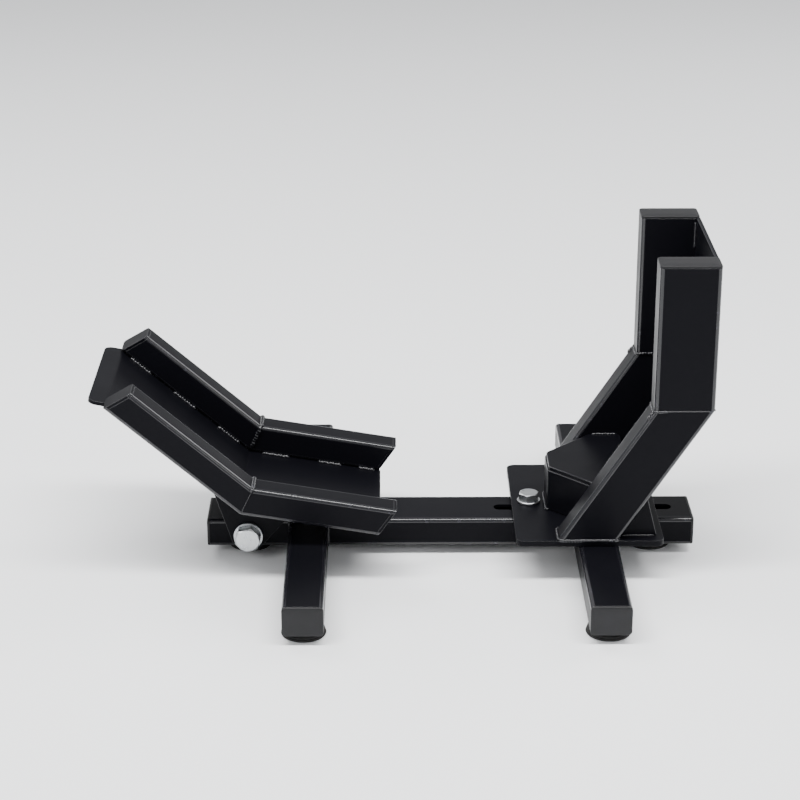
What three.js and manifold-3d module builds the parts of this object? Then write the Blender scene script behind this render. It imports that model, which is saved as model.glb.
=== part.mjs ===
// A rocker-type motorcycle front wheel stand of welded steel tube and plate.
// Millimetres, +Z up, floor at z = 0, +X the way the motorcycle faces.
// The drawing is laid out from the held wheel: x = 0 is under its axle until the last lines.
import * as THREE from "three";
import { mergeVertices } from "three/addons/utils/BufferGeometryUtils.js";
import Module from "manifold-3d";

const wasm = await Module();
wasm.setup();

// ---------------------------------------------------------------- driving dimensions

// The wheel that the stand is set for, a 120 mm wide tyre of 649 mm diameter.
const wheelRadius = 324.5;
const axleHeight = 380;

// Channel that the tyre stands in.
const channelWidth = 136;

// General gap between separate pieces, and the steel sections.
const gap = 0.3;
const tubeWidth = 30;
const tubeWall = 2.5;
const tubeCorner = 4;
const cornerSegments = 5;
const plate = 4;
const capThickness = 3;
const capPlugDepth = 8;

// Rocker: angles of its two ramps and of the entry lip, and their lengths past the tyre's contacts.
const longRampAngle = 41;
const shortRampAngle = 9.5;
const lipAngle = 11;
const longPlateRun = 80;
const shortPlateRun = 50;
const lipLength = 18;
const rampHalfWidth = 78;

// Rails: run of their upper edges, and the way that their slanting ends face in side view.
const railHeight = 30;
const longRailRun = 72;
const shortRailRun = 62;
const longEndFacing = 120;
const shortEndFacing = -35;
const endPlateThickness = 3;

// Rocker pivot and its M16 bolt.
const pivotX = -140;
const pivotZ = 25;
const pivotBolt = { radius: 8, headAcross: 24, headHeight: 10, nutHeight: 13, washer: 15 };
const lugThickness = 6;
const lugRadius = 18;
const sleeveRadius = 11;

// Base: central spine, side arms and feet.
const spine = { rear: -180, front: 316, width: 60, height: 30, wall: 3 };
const spineBottom = 10;
const arm = { width: 40, reach: 230 };
const armCentres = { rear: -78, front: 215 };
const foot = { radius: 22, topRadius: 19, chamfer: 1.5, inset: 25 };
const spineFootInset = 40;
const buffer = { rear: -42, front: -12, halfWidth: 20 };

// Upright: two vertical tubes on two leaning tubes, over a sliding foot plate.
const upright = { back: 324, depth: 60, top: 335, seam: 185, leanAngle: 57 };
const stopPlateTop = 333;
const footPlate = { rear: 132, front: 280, thickness: 6 };
const yoke = { rear: 167, shoulder: 214, front: 250, rearHalfWidth: 20, top: 94 };
const gusset = { length: 39, height: 43, thickness: 5 };

// Two M12 clamp bolts in slots of the spine, with one long nut plate inside it.
const clampBolt = { radius: 6, headAcross: 19, headHeight: 7.5, washer: 12, washerThickness: 2.5 };
const clampBoltX = { rear: 150, front: 262 };
const slideTravel = 30;
const nutPlate = { rear: 138, front: 274, halfWidth: 22, thickness: 7 };

// ---------------------------------------------------------------- derived dimensions

const channelHalf = channelWidth / 2;
const railOuter = channelHalf + tubeWidth;
const spineTop = spineBottom + spine.height;
const spineHalf = spine.width / 2;
const footPlateBottom = spineTop + gap;
const footPlateTop = footPlateBottom + footPlate.thickness;
const leanBottom = footPlateTop + gap;
const rad = THREE.MathUtils.degToRad;
const leanSlope = Math.tan(rad(upright.leanAngle));
const capTop = upright.top - capThickness;

// ---------------------------------------------------------------- geometry helpers

// Turns a closed three.js geometry into a manifold solid.
function solid(geometry) {
  const bare = geometry.clone();
  bare.deleteAttribute("normal");
  bare.deleteAttribute("uv");
  const merged = mergeVertices(bare, 1e-4);
  return new wasm.Manifold(
    new wasm.Mesh({
      numProp: 3,
      vertProperties: merged.attributes.position.array,
      triVerts: new Uint32Array(merged.index.array),
    }),
  );
}

// Turns a manifold solid back into a three.js geometry.
function geometryOf(body) {
  const mesh = body.getMesh();
  const geometry = new THREE.BufferGeometry();
  geometry.setAttribute("position", new THREE.BufferAttribute(mesh.vertProperties, 3));
  geometry.setIndex(new THREE.BufferAttribute(mesh.triVerts, 1));
  return geometry;
}

// Removes every cutter from a geometry.
function cut(geometry, ...cutters) {
  let body = solid(geometry);
  for (const cutter of cutters) body = body.subtract(solid(cutter));
  return geometryOf(body);
}

function join(...geometries) {
  let body = solid(geometries[0]);
  for (const other of geometries.slice(1)) body = body.add(solid(other));
  return geometryOf(body);
}

function box(x0, x1, y0, y1, z0, z1) {
  const geometry = new THREE.BoxGeometry(x1 - x0, y1 - y0, z1 - z0);
  return geometry.translate((x0 + x1) / 2, (y0 + y1) / 2, (z0 + z1) / 2);
}

// A shape from a list of points, or the shape itself where one is given.
function shapeOf(outline) {
  if (outline instanceof THREE.Shape) return outline;
  return new THREE.Shape(outline.map((point) => new THREE.Vector2(...point)));
}

// A side-view outline of [x, z] points, made solid from y0 to y1.
function sideProfile(outline, y0, y1) {
  const shape = shapeOf(outline);
  const geometry = new THREE.ExtrudeGeometry(shape, { depth: y1 - y0, bevelEnabled: false, curveSegments: 12 });
  return geometry.rotateX(Math.PI / 2).translate(0, y1, 0);
}

// A plan outline of [x, y] points, made solid from z0 to z1.
function planProfile(outline, z0, z1) {
  const shape = shapeOf(outline);
  const geometry = new THREE.ExtrudeGeometry(shape, { depth: z1 - z0, bevelEnabled: false, curveSegments: 10 });
  return geometry.translate(0, 0, z0);
}

// A rounded rectangle centred on the origin of its own plane.
function roundedRectangle(width, height, corner) {
  const shape = new THREE.Shape();
  const w = width / 2 - corner;
  const h = height / 2 - corner;
  shape.absarc(w, h, corner, 0, Math.PI / 2);
  shape.absarc(-w, h, corner, Math.PI / 2, Math.PI);
  shape.absarc(-w, -h, corner, Math.PI, 1.5 * Math.PI);
  shape.absarc(w, -h, corner, 1.5 * Math.PI, 2 * Math.PI);
  shape.closePath();
  return shape;
}

// A bar of any section along +X from x = 0, its section's first axis on Y and second on Z.
function bar(shape, length) {
  const geometry = new THREE.ExtrudeGeometry(shape, { depth: length, bevelEnabled: false, curveSegments: cornerSegments });
  return geometry.rotateY(Math.PI / 2).rotateX(Math.PI / 2);
}

// Rectangular tube along +X, width on Y and height on Z.
function tube(width, height, wall, length) {
  const section = roundedRectangle(width, height, tubeCorner);
  section.holes.push(roundedRectangle(width - 2 * wall, height - 2 * wall, tubeCorner - wall));
  return bar(section, length);
}

// Push-in end cap for such a tube: a flange at x = 0 to its thickness, and a plug behind it.
function endCap(width, height, wall) {
  const flange = bar(roundedRectangle(width, height, tubeCorner), capThickness);
  const inset = 2 * (wall + gap);
  const plug = bar(roundedRectangle(width - inset, height - inset, 1.2), capPlugDepth + 1);
  return join(flange, plug.translate(-capPlugDepth, 0, 0));
}

// Lays a piece that runs along +X at an angle in side view, starting from [x, z].
function lay(geometry, [x, z], angle, y = 0) {
  return geometry.rotateY(-rad(angle)).translate(x, y, z);
}

// Everything on the far side of a plane through [x, z], whose normal is at an angle in side view.
function beyond([x, z], angle) {
  return lay(box(0, 500, -400, 400, -500, 500), [x, z], angle);
}

// A cylinder along Y from y0 to y1, about [x, z].
function rodY(radius, [x, z], y0, y1, sides = 36) {
  return new THREE.CylinderGeometry(radius, radius, y1 - y0, sides).translate(x, (y0 + y1) / 2, z);
}

// A cylinder along Z from z0 to z1, about [x, y].
function rodZ(radius, [x, y], z0, z1, sides = 36) {
  return new THREE.CylinderGeometry(radius, radius, z1 - z0, sides)
    .rotateX(Math.PI / 2)
    .translate(x, y, (z0 + z1) / 2);
}

// Radius over the corners of a hexagon of the given width across flats.
const hexRadius = (across) => across / Math.sqrt(3);

// Point of the line that touches a circle about the axle, at a distance along it from the contact.
function rampPoint(radius, angle, along) {
  const a = rad(angle);
  return [
    -radius * Math.sin(a) - along * Math.cos(a),
    axleHeight - radius * Math.cos(a) + along * Math.sin(a),
  ];
}

// Moves a point by a distance at an angle in side view.
function step([x, z], distance, angle) {
  return [x + distance * Math.cos(rad(angle)), z + distance * Math.sin(rad(angle))];
}

// ---------------------------------------------------------------- the assembly

const stand = new THREE.Group();
const base = new THREE.Group();
const rocker = new THREE.Group();
const uprightGroup = new THREE.Group();
stand.add(base, rocker, uprightGroup);

const powderCoat = new THREE.MeshStandardMaterial({ color: 0x202024, roughness: 0.45, metalness: 0.1 });
const zincPlate = new THREE.MeshStandardMaterial({ color: 0xb9bcc0, roughness: 0.35, metalness: 0.9 });
const plasticCap = new THREE.MeshStandardMaterial({ color: 0x17171a, roughness: 0.6, metalness: 0 });
const rubber = new THREE.MeshStandardMaterial({ color: 0x141414, roughness: 0.85, metalness: 0 });

function add(group, name, geometry, material) {
  const mesh = new THREE.Mesh(geometry, material);
  mesh.name = name;
  group.add(mesh);
}

// The stand is the same on both sides: left is +Y and right is -Y.
const sides = [
  { side: "left", sign: 1 },
  { side: "right", sign: -1 },
];

// Lowest and highest y of a strip that lies from inner to outer on one side.
const strip = (sign, inner, outer) => (sign > 0 ? [inner, outer] : [-outer, -inner]);

// ---------------------------------------------------------------- base

// Slot with round ends along X, cut through the spine's top wall only.
function slot(centre) {
  const radius = clampBolt.radius + 0.6;
  const z0 = spineTop - spine.wall - 1;
  const z1 = spineTop + 1;
  const middle = box(centre - slideTravel, centre + slideTravel, -radius, radius, z0, z1);
  return join(
    middle,
    rodZ(radius, [centre - slideTravel, 0], z0, z1),
    rodZ(radius, [centre + slideTravel, 0], z0, z1),
  );
}

const spineMiddle = spineBottom + spine.height / 2;
const spineTube = tube(spine.width, spine.height, spine.wall, spine.front - spine.rear);
add(
  base,
  "spine_tube",
  cut(
    spineTube.translate(spine.rear, 0, spineMiddle),
    rodY(sleeveRadius + gap, [pivotX, pivotZ], -spineHalf - 5, spineHalf + 5),
    slot(clampBoltX.rear),
    slot(clampBoltX.front),
  ),
  powderCoat,
);

for (const [name, x, turn] of [
  ["spine_cap_front", spine.front + gap, 0],
  ["spine_cap_rear", spine.rear - gap, Math.PI],
]) {
  const cap = endCap(spine.width, spine.height, spine.wall);
  add(base, name, cap.rotateZ(turn).translate(x, 0, spineMiddle), plasticCap);
}

add(
  base,
  "pivot_sleeve",
  cut(
    rodY(sleeveRadius, [pivotX, pivotZ], -spineHalf - 0.2, spineHalf + 0.2),
    rodY(pivotBolt.radius + gap, [pivotX, pivotZ], -spineHalf - 5, spineHalf + 5),
  ),
  zincPlate,
);

// Rubber foot bonded under a tube, its sole on the floor.
function rubberFoot(x, y) {
  const profile = [
    [0, 0],
    [foot.radius - foot.chamfer, 0],
    [foot.radius, foot.chamfer],
    [foot.topRadius, spineBottom - gap],
    [0, spineBottom - gap],
  ];
  const pad = new THREE.LatheGeometry(profile.map((point) => new THREE.Vector2(...point)), 32);
  return pad.rotateX(Math.PI / 2).translate(x, y, 0);
}

add(base, "foot_spine_rear", rubberFoot(spine.rear + spineFootInset, 0), rubber);
add(base, "foot_spine_front", rubberFoot(spine.front - spineFootInset, 0), rubber);

// Four arms, each with an end cap and a rubber foot under its outer end.
for (const [place, x] of Object.entries(armCentres)) {
  for (const { side, sign } of sides) {
    const turn = (sign * Math.PI) / 2;
    const inner = spineHalf + gap;
    const armTube = tube(arm.width, spine.height, tubeWall, arm.reach - inner);
    add(
      base,
      `arm_${place}_${side}`,
      armTube.rotateZ(turn).translate(x, sign * inner, spineMiddle),
      powderCoat,
    );

    const cap = endCap(arm.width, spine.height, tubeWall);
    add(
      base,
      `arm_cap_${place}_${side}`,
      cap.rotateZ(turn).translate(x, sign * (arm.reach + gap), spineMiddle),
      plasticCap,
    );

    add(base, `foot_${place}_${side}`, rubberFoot(x, sign * (arm.reach - foot.inset)), rubber);
  }
}

// Height of the short ramp's underside at a given x.
function underShortRamp(x) {
  const [contactX, contactZ] = rampPoint(wheelRadius + plate, shortRampAngle, 0);
  return contactZ - (x - contactX) * Math.tan(rad(shortRampAngle));
}

// Rubber buffer on the spine, its top sloped to meet the short ramp.
add(
  base,
  "rocker_buffer",
  sideProfile(
    [
      [buffer.rear, spineTop + gap],
      [buffer.front, spineTop + gap],
      [buffer.front, underShortRamp(buffer.front) - gap],
      [buffer.rear, underShortRamp(buffer.rear) - gap],
    ],
    -buffer.halfWidth,
    buffer.halfWidth,
  ),
  rubber,
);

// ---------------------------------------------------------------- rocker

// The two ramps meet on the line from the axle that halves the angle between them.
const kinkLean = (longRampAngle + shortRampAngle) / 2;
const kinkHalfTurn = (longRampAngle - shortRampAngle) / 2;
const kinkAlong = (radius) => radius * Math.tan(rad(kinkHalfTurn));
const kinkPoint = (radius) => rampPoint(radius, longRampAngle, -kinkAlong(radius));

// Moves a line of [x, z] points downwards by a distance, keeping its corners mitred.
function underside(points, distance) {
  const turns = points.slice(1).map(([x, z], i) => {
    const [fromX, fromZ] = points[i];
    return THREE.MathUtils.radToDeg(Math.atan2(z - fromZ, x - fromX));
  });
  return points.map((point, i) => {
    const before = turns[Math.max(i - 1, 0)];
    const after = turns[Math.min(i, turns.length - 1)];
    const half = (after - before) / 2;
    return step(point, distance / Math.cos(rad(half)), (before + after) / 2 - 90);
  });
}

const lipBend = rampPoint(wheelRadius, longRampAngle, longPlateRun);
const lipEnd = step(lipBend, lipLength, 180 - lipAngle);
const rampEnd = rampPoint(wheelRadius, shortRampAngle, -shortPlateRun);
const rampTop = [lipEnd, lipBend, kinkPoint(wheelRadius), rampEnd];
const rampOutline = [...rampTop, ...underside(rampTop, plate).reverse()];
add(rocker, "ramp_plate", sideProfile(rampOutline, -rampHalfWidth, rampHalfWidth), powderCoat);

// Side rails: a long and a short tube, mitred where the ramp bends, standing on the ramp plate.
const railMiddle = wheelRadius - gap - railHeight / 2;
const railTop = wheelRadius - gap - railHeight;
const spare = 30;
const railRuns = [
  {
    name: "long",
    start: rampPoint(railMiddle, longRampAngle, -kinkAlong(railMiddle) - spare),
    angle: 180 - longRampAngle,
    length: kinkAlong(railMiddle) + longRailRun + 2 * spare,
    mitreFacing: -kinkLean,
    end: rampPoint(railTop, longRampAngle, longRailRun),
    endFacing: longEndFacing,
  },
  {
    name: "short",
    start: rampPoint(railMiddle, shortRampAngle, kinkAlong(railMiddle) + spare),
    angle: -shortRampAngle,
    length: kinkAlong(railMiddle) + shortRailRun + 2 * spare,
    mitreFacing: 180 - kinkLean,
    end: rampPoint(railTop, shortRampAngle, -shortRailRun),
    endFacing: shortEndFacing,
  },
];
for (const { side, sign } of sides) {
  const y = sign * (channelHalf + tubeWidth / 2);
  for (const { name, start, angle, length, mitreFacing, end, endFacing } of railRuns) {
    const mitrePlane = step(kinkPoint(railMiddle), -gap / 2, mitreFacing);
    const tubeEnd = step(end, -endPlateThickness - gap, endFacing);
    add(
      rocker,
      `rail_${name}_${side}`,
      cut(
        lay(tube(tubeWidth, railHeight, tubeWall, length), start, angle, y),
        beyond(mitrePlane, mitreFacing),
        beyond(tubeEnd, endFacing),
      ),
      powderCoat,
    );

    // Steel plate that closes the rail's slanting end.
    const section = bar(roundedRectangle(tubeWidth, railHeight, tubeCorner), length);
    add(
      rocker,
      `rail_end_plate_${name}_${side}`,
      cut(
        lay(section, start, angle, y),
        beyond(end, endFacing),
        beyond(step(end, -endPlateThickness, endFacing), endFacing + 180),
      ),
      powderCoat,
    );
  }
}

// Pivot lugs: plates under the ramp on both sides of the spine, rounded about the pivot.
const lugInner = spineHalf + 2 * gap;
const lugOuter = lugInner + lugThickness;
const lugTop = [
  rampPoint(wheelRadius + plate + gap, longRampAngle, -kinkAlong(wheelRadius) + 50),
  kinkPoint(wheelRadius + plate + gap),
  rampPoint(wheelRadius + plate + gap, shortRampAngle, kinkAlong(wheelRadius) - 60),
];

// Angle about the pivot at which a line from a point touches the lug's round end.
function touchAngle([x, z], sense) {
  const reach = Math.hypot(x - pivotX, z - pivotZ);
  return Math.atan2(z - pivotZ, x - pivotX) + sense * Math.acos(lugRadius / reach);
}

function lugShape() {
  const shape = new THREE.Shape();
  const from = touchAngle(lugTop[2], -1);
  const to = touchAngle(lugTop[0], 1);
  shape.moveTo(...lugTop[0]);
  shape.lineTo(...lugTop[1]);
  shape.lineTo(...lugTop[2]);
  shape.absarc(pivotX, pivotZ, lugRadius, from, to, true);
  shape.closePath();
  return shape;
}

const pivot = [pivotX, pivotZ];
const pivotHole = rodY(pivotBolt.radius + gap, pivot, -80, 80);
for (const { side, sign } of sides) {
  const lug = sideProfile(lugShape(), ...strip(sign, lugInner, lugOuter));
  add(rocker, `pivot_lug_${side}`, cut(lug, pivotHole), powderCoat);

  const washerInner = lugOuter + gap;
  const washer = rodY(pivotBolt.washer, pivot, ...strip(sign, washerInner, washerInner + 2.5));
  add(rocker, `pivot_washer_${side}`, cut(washer, pivotHole), zincPlate);
}

const underHead = lugOuter + 2.5 + 2 * gap;
const headOuter = underHead + pivotBolt.headHeight;
const nutOuter = underHead + pivotBolt.nutHeight;
add(
  rocker,
  "pivot_bolt",
  join(
    rodY(hexRadius(pivotBolt.headAcross), pivot, -headOuter, -underHead, 6),
    rodY(pivotBolt.radius, pivot, -underHead - 1, nutOuter + 3),
  ),
  zincPlate,
);
add(
  rocker,
  "pivot_nut",
  cut(rodY(hexRadius(pivotBolt.headAcross), pivot, underHead, nutOuter, 6), pivotHole),
  zincPlate,
);

// ---------------------------------------------------------------- upright

const uprightMiddle = upright.back - upright.depth / 2;
const leanDepth = upright.depth * Math.sin(rad(upright.leanAngle));
const leanRun = (upright.seam - leanBottom) / Math.sin(rad(upright.leanAngle));

// Outer edge of the leaning tubes at a given height.
const leanEdge = (z) => upright.back - (upright.seam - z) / leanSlope;

for (const { side, sign } of sides) {
  const y = sign * (channelHalf + tubeWidth / 2);
  const standing = tube(tubeWidth, upright.depth, tubeWall, capTop - upright.seam - 1.5 * gap);
  add(
    uprightGroup,
    `upright_tube_${side}`,
    lay(standing, [uprightMiddle, upright.seam + gap / 2], 90, y),
    powderCoat,
  );

  const cap = endCap(tubeWidth, upright.depth, tubeWall);
  add(uprightGroup, `upright_cap_${side}`, lay(cap, [uprightMiddle, capTop], 90, y), plasticCap);

  const leaning = tube(tubeWidth, leanDepth, tubeWall, leanRun + 2 * upright.depth);
  const start = step([uprightMiddle, upright.seam], -leanRun - upright.depth, upright.leanAngle);
  add(
    uprightGroup,
    `leaning_tube_${side}`,
    cut(
      lay(leaning, start, upright.leanAngle, y),
      beyond([0, upright.seam - gap / 2], 90),
      beyond([0, leanBottom], -90),
    ),
    powderCoat,
  );

  const gussetFoot = leanEdge(leanBottom) + gap;
  add(
    uprightGroup,
    `gusset_${side}`,
    sideProfile(
      [
        [gussetFoot, leanBottom],
        [gussetFoot + gusset.length, leanBottom],
        [leanEdge(leanBottom + gusset.height) + gap, leanBottom + gusset.height],
      ],
      y - gusset.thickness / 2,
      y + gusset.thickness / 2,
    ),
    powderCoat,
  );
}

// Stop plates close the back of the channel, the lower one following the leaning tubes.
const stopHalf = channelHalf - gap;
add(
  uprightGroup,
  "stop_plate_upper",
  box(upright.back - plate, upright.back, -stopHalf, stopHalf, upright.seam + gap, stopPlateTop),
  powderCoat,
);
const stopTop = upright.seam - gap;
const stopRun = plate / Math.sin(rad(upright.leanAngle));
add(
  uprightGroup,
  "stop_plate_lower",
  sideProfile(
    [
      [leanEdge(stopTop), stopTop],
      [leanEdge(leanBottom), leanBottom],
      [leanEdge(leanBottom) - stopRun, leanBottom],
      [leanEdge(stopTop) - stopRun, stopTop],
    ],
    -stopHalf,
    stopHalf,
  ),
  powderCoat,
);

// Yoke: a plate between the leaning tubes, welded on a skirt bent round its narrow end.
const yokeTop = [
  [yoke.rear, -yoke.rearHalfWidth],
  [yoke.shoulder, -stopHalf],
  [yoke.front, -stopHalf],
  [yoke.front, stopHalf],
  [yoke.shoulder, stopHalf],
  [yoke.rear, yoke.rearHalfWidth],
];
const yokeFlare = Math.atan2(stopHalf - yoke.rearHalfWidth, yoke.shoulder - yoke.rear);
const skirtInset = plate / Math.cos(yokeFlare);
const skirtRear = yoke.rear + plate;
const skirtRearHalf = yoke.rearHalfWidth + plate * Math.tan(yokeFlare) - skirtInset;
const insideFront = yoke.front + 10;
const insideHalf = skirtRearHalf + (insideFront - skirtRear) * Math.tan(yokeFlare);
const yokeInside = [
  [skirtRear, -skirtRearHalf],
  [insideFront, -insideHalf],
  [insideFront, insideHalf],
  [skirtRear, skirtRearHalf],
];
const behindShoulder = box(yoke.shoulder, insideFront, -railOuter, railOuter, 0, yoke.top - plate);
add(
  uprightGroup,
  "yoke",
  cut(
    planProfile(yokeTop, leanBottom, yoke.top),
    planProfile(yokeInside, leanBottom - 1, yoke.top - plate),
    behindShoulder,
  ),
  powderCoat,
);

// Foot plate that slides on the spine and the front arms.
const footMiddle = (footPlate.rear + footPlate.front) / 2;
const footShape = roundedRectangle(footPlate.front - footPlate.rear, 2 * railOuter, 8);
const clampHole = (x) => rodZ(clampBolt.radius + gap, [x, 0], 0, 80);
add(
  uprightGroup,
  "foot_plate",
  cut(
    planProfile(footShape, footPlateBottom, footPlateTop).translate(footMiddle, 0, 0),
    clampHole(clampBoltX.rear),
    clampHole(clampBoltX.front),
  ),
  powderCoat,
);

// Clamp bolts through the spine's slots into the nut plate inside it.
const nutPlateTop = spineTop - spine.wall - gap;
const nutPlateBottom = nutPlateTop - nutPlate.thickness;
const washerBottom = footPlateTop + gap;
const headBottom = washerBottom + clampBolt.washerThickness + gap;
for (const [place, x] of Object.entries(clampBoltX)) {
  const washer = rodZ(clampBolt.washer, [x, 0], washerBottom, washerBottom + clampBolt.washerThickness);
  add(uprightGroup, `clamp_washer_${place}`, cut(washer, clampHole(x)), zincPlate);
  add(
    uprightGroup,
    `clamp_bolt_${place}`,
    join(
      rodZ(hexRadius(clampBolt.headAcross), [x, 0], headBottom, headBottom + clampBolt.headHeight, 6),
      rodZ(clampBolt.radius, [x, 0], nutPlateBottom - 4, headBottom + 1),
    ),
    zincPlate,
  );
}
add(
  uprightGroup,
  "nut_plate",
  cut(
    box(
      nutPlate.rear,
      nutPlate.front,
      -nutPlate.halfWidth,
      nutPlate.halfWidth,
      nutPlateBottom,
      nutPlateTop,
    ),
    clampHole(clampBoltX.rear),
    clampHole(clampBoltX.front),
  ),
  zincPlate,
);

// The part's origin is on the floor, midway between the lip's end and the back of the upright.
const rearmost = Math.min(...rampOutline.map(([x]) => x));
stand.position.x = -(rearmost + upright.back) / 2;

export default stand;
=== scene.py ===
# A rocker-type front wheel stand for a motorcycle, in black powder-coated steel.
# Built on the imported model: metres, +Z up, +X the way the motorcycle faces, floor at z = 0.
import math

import bmesh
import bpy
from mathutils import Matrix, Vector


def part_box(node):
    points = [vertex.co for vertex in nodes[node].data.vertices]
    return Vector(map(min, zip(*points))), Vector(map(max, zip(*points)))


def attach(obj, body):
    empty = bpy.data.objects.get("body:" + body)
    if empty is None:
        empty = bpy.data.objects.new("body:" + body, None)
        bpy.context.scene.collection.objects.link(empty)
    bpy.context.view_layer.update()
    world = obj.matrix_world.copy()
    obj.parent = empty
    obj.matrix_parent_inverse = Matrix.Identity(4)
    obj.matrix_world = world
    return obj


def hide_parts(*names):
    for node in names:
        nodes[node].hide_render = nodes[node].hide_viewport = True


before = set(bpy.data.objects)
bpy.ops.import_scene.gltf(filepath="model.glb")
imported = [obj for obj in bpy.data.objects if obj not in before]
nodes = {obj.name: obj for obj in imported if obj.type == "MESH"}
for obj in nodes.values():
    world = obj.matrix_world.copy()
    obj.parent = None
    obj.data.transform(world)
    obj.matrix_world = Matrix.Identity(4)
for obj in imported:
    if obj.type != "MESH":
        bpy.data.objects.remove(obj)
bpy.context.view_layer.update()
mm = 0.001

# ---------------------------------------------------------------- black powder coat
# Every welded piece is mild steel under polyester powder, sprayed dry and baked to a thick film.
# The eye gets a near-black, half-gloss skin with fine orange peel, with a painted highlight on its
# edges.


def srgb(code):
    channels = [int(code[i : i + 2], 16) / 255 for i in (1, 3, 5)]
    linear = [c / 12.92 if c <= 0.04045 else ((c + 0.055) / 1.055) ** 2.4 for c in channels]
    return (*linear, 1.0)


def node(tree, kind, settings=None, inputs=None):
    """Adds a node, sets its properties and inputs, and links inputs given as sockets."""
    made = tree.nodes.new(kind)
    for name, value in (settings or {}).items():
        setattr(made, name, value)
    for name, value in (inputs or {}).items():
        if isinstance(value, bpy.types.NodeSocket):
            tree.links.new(value, made.inputs[name])
        else:
            made.inputs[name].default_value = value
    return made


def new_material(name):
    material = bpy.data.materials.new(name)
    material.use_nodes = True
    tree = material.node_tree
    shader = tree.nodes["Principled BSDF"]
    place = tree.nodes.new("ShaderNodeTexCoord").outputs["Object"]
    return material, tree, shader, place


# Sizes of what the coat shows: bumps of the orange peel, clouds of dust and thin rub marks.
PEEL_SIZE = 1.6 * mm
CLOUD_SIZE = 70 * mm
RUB_SIZE = 9 * mm


def powder_coat(name, colour, worn_colour, roughness, wear, reflection):
    material, tree, shader, place = new_material(name)
    clouds = node(
        tree,
        "ShaderNodeTexNoise",
        inputs={"Vector": place, "Scale": 1 / CLOUD_SIZE, "Detail": 4.0, "Roughness": 0.6},
    )
    rubs = node(
        tree,
        "ShaderNodeTexNoise",
        inputs={"Vector": place, "Scale": 1 / RUB_SIZE, "Detail": 6.0, "Roughness": 0.7},
    )
    peel = node(
        tree,
        "ShaderNodeTexNoise",
        inputs={"Vector": place, "Scale": 1 / PEEL_SIZE, "Detail": 2.0, "Roughness": 0.5},
    )
    worn = node(
        tree,
        "ShaderNodeMapRange",
        inputs={"Value": rubs.outputs["Fac"], "From Min": 1 - wear, "From Max": 1.05 - wear},
    )
    tint = node(
        tree,
        "ShaderNodeMix",
        {"data_type": "RGBA"},
        {"Factor": worn.outputs["Result"], "A": srgb(colour), "B": srgb(worn_colour)},
    )
    gloss = node(
        tree,
        "ShaderNodeMapRange",
        inputs={
            "Value": clouds.outputs["Fac"],
            "From Min": 0.3,
            "From Max": 0.7,
            "To Min": roughness - 0.05,
            "To Max": roughness + 0.07,
        },
    )
    skin = node(
        tree,
        "ShaderNodeBump",
        inputs={"Height": peel.outputs["Fac"], "Strength": 0.22, "Distance": 0.12 * mm},
    )
    tree.links.new(tint.outputs["Result"], shader.inputs["Base Color"])
    tree.links.new(gloss.outputs["Result"], shader.inputs["Roughness"])
    tree.links.new(skin.outputs["Normal"], shader.inputs["Normal"])
    shader.inputs["IOR"].default_value = 1.5
    shader.inputs["Specular IOR Level"].default_value = reflection
    return material


coat = powder_coat("black_powder_coat", "#0a0a0e", "#141419", 0.34, 0.3, 0.06)
# A lighter, glossier copy of the coat for edges, rounded corners and welds: a painted highlight, with
# some rubbed wear.
coat_highlight = powder_coat("powder_coat_painted_edge_highlight", "#121216", "#2a2a30", 0.18, 0.4, 0.5)

# ---------------------------------------------------------------- side rails of the rocker
# Four lengths of 30 mm square tube, mitred and welded in pairs, keep the tyre on the ramp.
# Small steel plates close their slanting ends.

# The stand is laid out from the axle of the wheel that it holds, in millimetres.
WHEEL_RADIUS = 324.5
AXLE_HEIGHT = 380.0
BACK_FROM_AXLE = 324.0
AXLE_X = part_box("stop_plate_upper")[1].x / mm - BACK_FROM_AXLE
GAP = 0.3

SIDES = {"left": 1, "right": -1}
LONG_ANGLE = 41.0
SHORT_ANGLE = 9.5
CHANNEL_HALF = 68.0
TUBE = 30.0
WALL = 2.5
CORNER = 4.0
CORNER_STEPS = 8
RAIL_Y = CHANNEL_HALF + TUBE / 2
RAIL_TOP = WHEEL_RADIUS - GAP - TUBE
LONG_RAIL_RUN = 72.0
SHORT_RAIL_RUN = 62.0
LONG_END_FACING = 120.0
SHORT_END_FACING = -35.0
END_PLATE = 3.0


def at(x, y, z):
    """A point given in millimetres from below the axle, in the part's frame in metres."""
    return Vector(((x + AXLE_X) * mm, y * mm, z * mm))


def facing(angle):
    """Unit vector at an angle in side view."""
    a = math.radians(angle)
    return Vector((math.cos(a), 0, math.sin(a)))


def ramp_point(radius, angle, along, y=0.0):
    """Point of the line that touches a circle about the axle, at a run beyond the contact."""
    a = math.radians(angle)
    x = -radius * math.sin(a) - along * math.cos(a)
    z = AXLE_HEIGHT - radius * math.cos(a) + along * math.sin(a)
    return at(x, y, z)


KINK_LEAN = (LONG_ANGLE + SHORT_ANGLE) / 2
KINK_HALF_TURN = (LONG_ANGLE - SHORT_ANGLE) / 2


def kink_run(radius):
    return radius * math.tan(math.radians(KINK_HALF_TURN))


def rounded_rectangle(width, height, corner, steps=CORNER_STEPS):
    """Points round a rectangle with round corners, anticlockwise, in metres."""
    points = []
    for quarter, (sx, sy) in enumerate(((1, 1), (-1, 1), (-1, -1), (1, -1))):
        for i in range(steps + 1):
            a = math.radians(90 * quarter + 90 * i / steps)
            x = sx * (width / 2 - corner) + corner * math.cos(a)
            y = sy * (height / 2 - corner) + corner * math.sin(a)
            points.append((x * mm, y * mm))
    return points


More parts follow.
